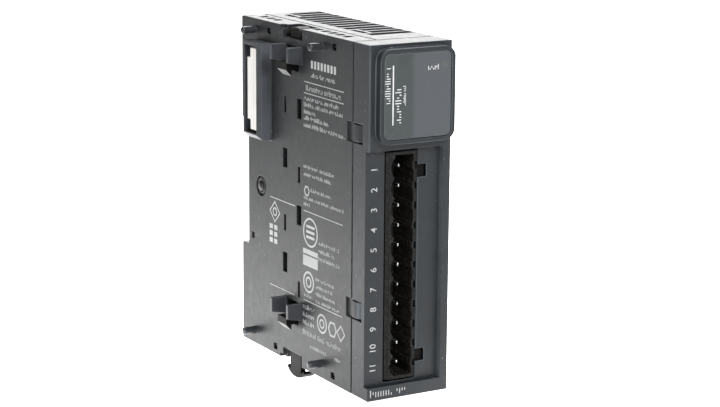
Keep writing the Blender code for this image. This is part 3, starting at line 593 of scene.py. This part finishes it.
def refine(node, body, slot, material, radius=0.0003, **settings):
    piece = rounded(node + "_shape", cad_copy(node), material, radius, **settings)
    return stand_for(piece, body, slot, node)


def make_window():
    """The cover plate, a close fit in its pocket, with a lighter rounded edge that is a painted highlight."""
    bm = cad_copy("label_window")
    low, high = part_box("label_window")
    middle, span = (low + high) / 2, high - low
    fit = 0.0002
    for vert in bm.verts:
        vert.co.x += (vert.co.x - middle.x) * 2 * fit / span.x
        vert.co.z += (vert.co.z - middle.z) * 2 * fit / span.z
    piece = rounded("label_window_shape", bm, "window", 0.0003)
    stand_for(piece, "housing", "window_gloss", "label_window")


def paint(piece, material, low, high, facing=None):
    """Gives a material to the faces centred inside a box in housing millimetres, or to those facing a way."""
    piece.data.materials.append(MATERIALS[material])
    index = len(piece.data.materials) - 1
    near, far = at(*low), at(*high)
    for face in piece.data.polygons:
        inside = all(near[i] <= face.center[i] <= far[i] for i in range(3))
        if inside and (facing is None or face.normal.dot(Vector(facing).normalized()) > 0.9):
            face.material_index = index


# ---------------------------------------------------------------- printed marks


def slab(bm, outline, place, base, top):
    """A thin closed prism over an outline of (u, v) points; place(u, v, height) gives its corners."""
    rings = [[bm.verts.new(place(u, v, height)) for u, v in outline] for height in (base, top)]
    bm.faces.new(rings[0][::-1])
    bm.faces.new(rings[1])
    for i in range(len(outline)):
        j = (i + 1) % len(outline)
        bm.faces.new((rings[0][i], rings[0][j], rings[1][j], rings[1][i]))


def bar(u0, u1, v0, v1):
    return [(u0, v0), (u1, v0), (u1, v1), (u0, v1)]


def ring(u, v, radius, width, sides=32, start=0.0, sweep=math.tau):
    """A ring or an arc of a given width, as a list of four-sided outlines."""
    parts = []
    for i in range(sides):
        a, b = start + sweep * i / sides, start + sweep * (i + 1) / sides
        corners = [(radius, a), (radius, b), (radius - width, b), (radius - width, a)]
        parts.append([(u + d * math.cos(t), v + d * math.sin(t)) for d, t in corners])
    return parts


def greeked(u0, u1, v, height, seed):
    """Upright strokes grouped like words, from u0 to u1, standing on v: a stand-in for small print."""
    draw = random.Random(seed)
    stroke, step = (0.17 * height, 0.36 * height) if height < 1.4 else (0.14 * height, 0.4 * height)
    blocks, u, left_in_word = [], u0, draw.randint(6, 16)
    while u + stroke <= u1:
        if left_in_word == 0:
            left_in_word = draw.randint(6, 16)
            u += 1.2 * step
            continue
        low, high = draw.choice(((0.0, 0.72), (0.0, 0.72), (0.0, 1.0), (0.36, 0.72), (0.0, 0.3)))
        blocks.append(bar(u, u + stroke, v + low * height, v + high * height))
        u += step
        left_in_word -= 1
    return blocks


def printed(name, outlines, place, material="ink", thickness=0.02):
    """One piece that holds every mark printed on a face."""
    bm = bmesh.new()
    for outline in outlines:
        slab(bm, outline, place, -0.01, thickness)
    bmesh.ops.recalc_face_normals(bm, faces=bm.faces)
    piece = link(name, bm, material)
    return stand_for(piece, "housing", "connector_white")


def side_place(u, v, height):
    """u runs forward from PRINT_START and v up, on the left side."""
    return at(-height, PRINT_START - u, v)


def forward(y):
    """The u of a depth y on the side."""
    return PRINT_START - y


def front_place(y):
    return lambda u, v, height: at(u, y - height, v)


def text_lines(y_start, lines, seed):
    """Side-face lines given as (bottom z, end y, height)."""
    outlines = []
    for i, (z, y_end, height) in enumerate(lines):
        outlines += greeked(forward(y_start), forward(y_end), z, height, seed + i)
    return outlines


def rule(y_start, y_end, z):
    return [bar(forward(y_start), forward(y_end), z, z + 0.22)]


def print_side():
    """The side's marks from top to bottom. A row of text is (bottom z, end y, height)."""
    marks = []
    for y_start, y_end, z in SIDE_RULES:
        marks += rule(y_start, y_end, z)
    # equal bars and a row below them
    marks += [bar(30.5 + 1.7 * i, 31.5 + 1.7 * i, 80.6, 82.6) for i in range(8)]
    marks += text_lines(29.5, [(78.3, 16.8, 1.2)], 3)
    # heading between the rules and the five rows under it
    marks += text_lines(32.1, [(74.55, 14.2, 1.5)], 5)
    marks += text_lines(33.2, [(72.0, 15.0, 1.15), (70.3, 13.0, 1.15), (68.5, 27.0, 1.15), (66.9, 20.3, 1.15),
                               (65.0, 11.6, 1.15)], 11)
    # two notes, the second one beside a hexagon
    marks += text_lines(33.3, [(54.2, 17.4, 1.0), (52.2, 18.7, 1.0)], 23)
    marks += ring(forward(31.6), 48.3, 1.5, 0.45, 6)
    marks += text_lines(29.6, [(48.4, 18.8, 1.0)], 29)
    marks += text_lines(33.2, [(46.0, 12.4, 1.0), (44.3, 30.0, 1.0)], 31)
    # a ring with three bars over two filled blocks, with rows beside them
    marks += ring(forward(29.6), 37.6, 3.9, 0.5)
    marks += [bar(28.2, 32.6, z, z + 0.7) for z in (35.9, 37.3, 38.7)]
    marks += [bar(26.5, 34.4, 31.6, 32.9), bar(26.5, 34.4, 28.4, 31.2)]
    marks += text_lines(25.2, [(35.3, 14.6, 1.05), (33.2, 17.0, 1.05), (31.2, 14.2, 1.05)], 37)
    # a double ring with rows beside and under it
    for radius, width in ((2.9, 0.55), (1.5, 0.5)):
        marks += ring(forward(30.5), 24.2, radius, width)
    marks += text_lines(33.0, [(20.0, 28.4, 0.9)], 41)
    marks += text_lines(26.7, [(25.4, 17.0, 1.0), (23.5, 17.6, 1.0), (21.5, 16.4, 1.0),
                               (19.6, 14.4, 1.0)], 43)
    # the lowest rows, a double ring, a hexagon and a diamond
    marks += text_lines(33.5, [(16.6, 27.4, 1.3), (14.5, 27.4, 1.3), (12.4, 27.4, 1.3), (9.6, 13.4, 1.4)], 47)
    for radius, width in ((2.6, 0.5), (1.3, 0.45)):
        marks += ring(forward(23.3), 14.7, radius, width)
    for y, sides in ((17.8, 6), (13.4, 4)):
        marks += ring(forward(y), 14.5, 2.3, 0.6, sides)
    marks += text_lines(29.7, [(6.6, 20.5, 1.0)], 53)
    marks += text_lines(16.6, [(6.6, 13.2, 1.0)], 59)
    # further back: a diamond round a ring, over two columns of blocks
    marks += ring(forward(49.3), 39.4, 3.0, 0.5, 4)
    marks += ring(forward(49.3), 39.4, 1.2, 0.4)
    marks += [bar(7.7 + 2.6 * i, 9.5 + 2.6 * i, z, z + 1.3) for i in range(2) for z in (30.7, 32.6, 34.5)]
    printed("side_print", marks, side_place)


def number_outlines(piece_name, labels, place, height):
    """Numbers in Blender's own font as one flat mesh, each turned to read upwards."""
    bm = bmesh.new()
    for text, u, v in labels:
        curve = bpy.data.curves.new(piece_name, "FONT")
        curve.body = text
        curve.size = height
        curve.align_x, curve.align_y = "CENTER", "CENTER"
        curve.resolution_u = 4
        curve.offset = 0.035
        carrier = bpy.data.objects.new(piece_name, curve)
        bpy.context.collection.objects.link(carrier)
        mesh = bpy.data.meshes.new_from_object(carrier.evaluated_get(bpy.context.evaluated_depsgraph_get()))
        bpy.data.objects.remove(carrier)
        start = len(bm.verts)
        bm.from_mesh(mesh)
        bm.verts.ensure_lookup_table()
        for vert in bm.verts[start:]:
            vert.co = place(u - vert.co.y, v + vert.co.x, 0.012)
    extruded = bmesh.ops.extrude_face_region(bm, geom=list(bm.faces))
    shift = place(0.0, 0.0, -0.01) - place(0.0, 0.0, 0.012)
    for vert in (item for item in extruded["geom"] if isinstance(item, bmesh.types.BMVert)):
        vert.co += shift
    bmesh.ops.recalc_face_normals(bm, faces=bm.faces)
    piece = link(piece_name, bm, "ink")
    return stand_for(piece, "housing", "connector_white")


def turned_up(outlines):
    """Outlines drawn along +u turned a quarter turn, so that the line runs upwards."""
    return [[(-v, u) for u, v in outline] for outline in outlines]


def print_front():
    labels = []
    for i in range(PIN_COUNT):
        low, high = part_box(f"terminal_pin_{i + 1}")
        labels.append((str(i + 1), 2.7, (low.z + high.z) / 2 / MM + ORIGIN.z))
    number_outlines("pin_numbers", labels, front_place(1.75), 2.5)
    printed("lip_print", greeked(0.9, 11.2, 1.0, 1.9, 8), front_place(0.0))
    marks = [bar(5.3, 5.65, 70.3, 85.0)]
    marks += turned_up(greeked(75.7, 84.7, -4.7, 1.5, 61))
    marks += turned_up(greeked(70.7, 79.9, -7.8, 1.7, 68))
    marks += turned_up(greeked(75.0, 79.9, -9.1, 0.8, 71))
    marks += greeked(15.4, 18.6, 83.3, 1.3, 73)
    printed("window_print", marks, front_place(-2.05), "bright_ink")


def add_leads(bm, rows, foot, shoulder, span, count):
    """Gull-wing leads on both sides of a chip: rows are its sides in y, foot and shoulder heights in x."""
    reach, thickness, half_width = 1.3, 0.15, 0.2
    for row, outward in zip(rows, (-1.0, 1.0)):
        outline = [(row, shoulder), (row + outward * reach * 0.45, shoulder),
                   (row + outward * reach * 0.65, foot + thickness),
                   (row + outward * reach, foot + thickness),
                   (row + outward * reach, foot), (row + outward * reach * 0.55, foot),
                   (row + outward * reach * 0.35, shoulder - thickness), (row, shoulder - thickness)]
        for i in range(count):
            z = span[0] + (span[1] - span[0]) * (i + 0.5) / count
            slab(bm, outline, lambda u, v, height, z=z: at(v, u, z + height), -half_width, half_width)


def make_chip_leads():
    bm = bmesh.new()
    for node, count in CHIP_LEADS.items():
        low, high = (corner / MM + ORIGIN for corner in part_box(node))
        shoulder = low.x + 0.45 * (high.x - low.x)
        add_leads(bm, (low.y, high.y), low.x - 0.3, shoulder, (low.z, high.z), count)
    bmesh.ops.recalc_face_normals(bm, faces=bm.faces)
    stand_for(link("chip_leads", bm, "tin"), "housing", "tin_plate")


def lathed(name, material, profile, centre, sides=48):
    """A round shape about an axis along x, from (x, radius) pairs."""
    bm = bmesh.new()
    rings = []
    for x, radius in profile:
        rings.append([bm.verts.new(at(x, centre[0] + radius * math.cos(t), centre[1] + radius * math.sin(t)))
                      for t in (math.tau * i / sides for i in range(sides))])
    for near, far in zip(rings, rings[1:]):
        for i in range(sides):
            j = (i + 1) % sides
            bm.faces.new((near[i], near[j], far[j], far[i]))
    bm.faces.new(rings[0])
    bm.faces.new(rings[-1])
    bmesh.ops.recalc_face_normals(bm, faces=bm.faces)
    piece = link(name, bm, material)
    polish(piece)
    return piece


def make_rivet():
    """A domed head with a small flat ring and its shaft."""
    dome = [(0.15 - 0.55 * math.sin(a), 1.45 * math.cos(a)) for a in (1.5, 1.2, 0.9, 0.6, 0.3, 0.0)]
    profile = dome + [(0.3, 1.5), (0.3, 1.65), (0.12, 1.8), (0.12, 2.1), (0.25, 2.23), (0.5, 2.23),
                      (0.6, 1.4), (21.0, 1.4), (21.6, 0.9)]
    piece = lathed("case_rivet_shape", "rivet", profile, RIVET_CENTRE)
    stand_for(piece, "housing", "housing_plastic", "case_rivet")


def make_capacitors():
    """Cans with a rolled groove near the foot and a pressed rim at the top."""
    for i, z in enumerate(CAPACITOR_HEIGHTS):
        profile = [(5.3, 2.6), (5.5, 3.12), (6.3, 3.13), (6.6, 2.85), (7.0, 2.85), (7.3, 3.13),
                   (13.3, 3.13), (13.7, 3.0), (13.95, 2.7), (13.85, 2.5), (13.6, 2.4)]
        piece = lathed(f"capacitor_{i + 1}_shape", "can", profile, (CAPACITOR_DEPTH, z))
        stand_for(piece, "housing", "capacitor_can", f"capacitor_{i + 1}")


def make_pieces():
    cover = refine("left_cover", "housing", "housing_plastic", "housing")
    paint(cover, "collar", (-9.0, 50.0, 57.0), (-0.2, 61.0, 86.0))
    # painted light: the shroud's forward-facing faces get a lighter colour
    paint(cover, "collar_front", (-9.0, 50.0, 57.0), (-0.2, 52.0, 86.0), (0.0, -1.0, 0.0))
    for bottom in GUARD_BOTTOMS:
        paint(cover, "collar", (-9.0, 33.0, bottom), (-0.2, 45.0, bottom + 7.0))
    for y in PEG_DEPTHS:
        for z in PEG_HEIGHTS:
            paint(cover, "polished", (-9.0, y - 1.4, z - 1.4), (-0.2, y + 1.4, z + 1.4))
    # painted highlight: a lighter bluish patch on the lower snap tongue's side face
    paint(cover, "glint", (-0.5, 3.5, 20.5), (0.7, 5.6, 24.5), (-1.0, 0.0, 0.0))
    refine("right_case", "housing", "housing_plastic", "housing")
    bezel = refine("front_bezel", "housing", "bezel_plastic", "bezel", 0.00035)
    # painted light: the recess's right wall, facing left, gets a lighter colour
    paint(bezel, "rim_wall", (21.0, 0.2, 3.6), (21.8, 1.7, 63.4), (-1.0, 0.0, 0.0))
    for z in PLUG_LATCH_CENTRES:
        paint(bezel, "shadowed", (15.05, 2.2, z - 2.0), (17.8, 4.0, z + 2.0))
    header = refine("terminal_header", "housing", "header_plastic", "header", 0.0002)
    paint(header, "inner", (6.8, 1.4, 5.0), (13.8, 11.0, 62.6))
    make_window()
    refine("light_pipe", "housing", "clear_acrylic", "clear", 0.0002)
    for node, tip in HOOK_TIPS.items():
        lock = refine(node, node + "_body", "lock_plastic", "lock", 0.00025)
        # painted highlight: the hook's down-and-outward chamfer gets a light colour
        paint(lock, "hook_tip", (-3.6, 36.0, tip - 0.3), (-1.6, 42.0, tip + 1.8), (-1.0, 0.0, -1.0))
    refine("din_clip", "din_clip_body", "clip_plastic", "clip", 0.0003)
    refine("bus_plug", "housing", "connector_white", "white", 0.0003)
    refine("bus_socket", "housing", "connector_white", "white", 0.0003)
    for i in range(PIN_COUNT):
        refine(f"terminal_pin_{i + 1}", "housing", "tin_plate", "tin", 0.0004, fine=1.0, segments=3)
    make_rivet()
    make_capacitors()
    refine("main_board", "housing", "circuit_board", "board", 0.0001)
    refine("output_board", "housing", "circuit_board", "board", 0.0001)
    for node in CHIP_LEADS:
        refine(node, "housing", "chip_epoxy", "epoxy", 0.0002)
    make_chip_leads()
    refine("transformer_core", "housing", "ferrite", "ferrite", 0.0003)
    refine("choke", "housing", "ferrite", "ferrite", 0.0006)
    refine("transformer_winding", "housing", "winding_tape", "tape", 0.0008, segments=4)
    refine("board_link", "housing", "header_plastic", "header", 0.0003)
    refine("status_led", "housing", "led_resin", "resin", 0.0003)


make_camera()
make_stage()
make_light()
make_materials()
make_pieces()
print_side()
print_front()
